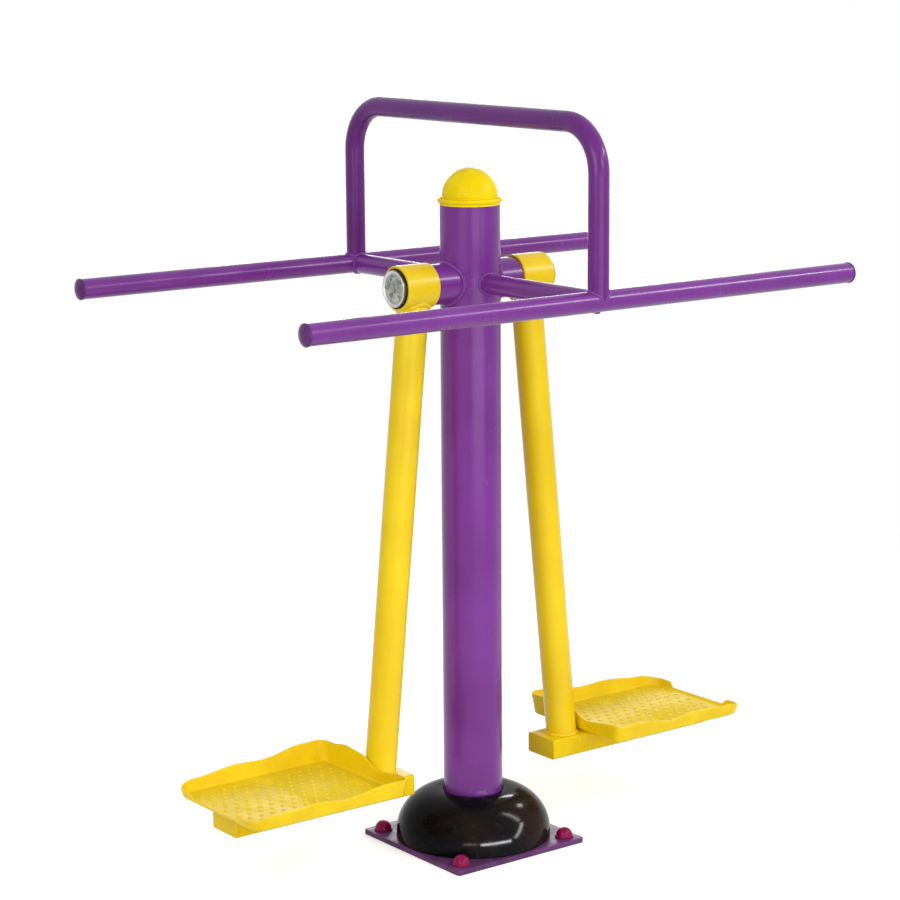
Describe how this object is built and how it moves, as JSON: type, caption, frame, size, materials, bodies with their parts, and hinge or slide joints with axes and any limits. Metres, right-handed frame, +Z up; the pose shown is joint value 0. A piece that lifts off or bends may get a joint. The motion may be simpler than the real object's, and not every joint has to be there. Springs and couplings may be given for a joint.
{
  "type": "standing swing board",
  "caption": "Outdoor fitness swing board: a capped post with side handrails and a hoop, and tread pedals that hang from a shaft across the post and swing sideways.",
  "frame": {"origin": "centre of the base plate's underside, on the ground", "axes": "+Z up, X along the handrails and the swing shaft, Y across, the way the pedals swing; front is -Y"},
  "size_m": [1.262, 0.7798, 1.427],
  "materials": {
    "purple_paint": "glossy powder coat",
    "yellow_paint": "glossy powder coat",
    "black_cover": "polished black",
    "crimson_caps": "moulded, semi-gloss",
    "yellow_cap": "moulded, semi-gloss",
    "purple_plugs": "moulded, semi-gloss",
    "bright_cap": "polished stainless",
    "bearing_steel": "ground",
    "steel": "turned",
    "rubber": "plain"
  },
  "bodies": {
    "frame": {"base_plate": "purple_paint", "rib_right_back": "purple_paint", "rib_left_back": "purple_paint", "rib_left_front": "purple_paint", "rib_right_front": "purple_paint", "post": "purple_paint", "base_cover": "black_cover", "bolt_caps": "crimson_caps", "post_cap": "yellow_cap", "front_handrail": "purple_paint", "back_handrail": "purple_paint", "handrail_plugs": "purple_plugs", "front_cross_tube": "purple_paint", "back_cross_tube": "purple_paint", "hoop": "purple_paint", "hub_tube": "purple_paint", "shaft": "steel", "right_hub_disc": "steel", "left_hub_disc": "steel", "right_collar": "steel", "left_collar": "steel", "right_spacer": "steel", "left_spacer": "steel", "right_inner_bearing": "bearing_steel", "left_inner_bearing": "bearing_steel", "right_outer_bearing": "bearing_steel", "left_outer_bearing": "bearing_steel", "right_clamp_washer": "steel", "left_clamp_washer": "steel", "right_shaft_screw": "steel", "left_shaft_screw": "steel"},
    "right_swing": {"right_sleeve": "yellow_paint", "right_shaft_seal": "rubber", "right_cap_gasket": "rubber", "right_end_cap": "bright_cap", "right_arm": "yellow_paint", "right_pedal_bar": "yellow_paint", "right_bar_caps": "yellow_paint", "right_tread_pan": "yellow_paint"},
    "left_swing": {"left_sleeve": "yellow_paint", "left_shaft_seal": "rubber", "left_cap_gasket": "rubber", "left_end_cap": "bright_cap", "left_arm": "yellow_paint", "left_pedal_bar": "yellow_paint", "left_bar_caps": "yellow_paint", "left_tread_pan": "yellow_paint"}
  },
  "joints": [
    {"name": "right_swing_hinge", "type": "hinge", "parent": "frame", "child": "right_swing", "pos_m": [0.136, 0, 1.096], "axis": [1, 0, 0], "range_deg": [-45, 45]},
    {"name": "left_swing_hinge", "type": "hinge", "parent": "frame", "child": "left_swing", "pos_m": [-0.136, 0, 1.096], "axis": [1, 0, 0], "range_deg": [-45, 45]}
  ]
}
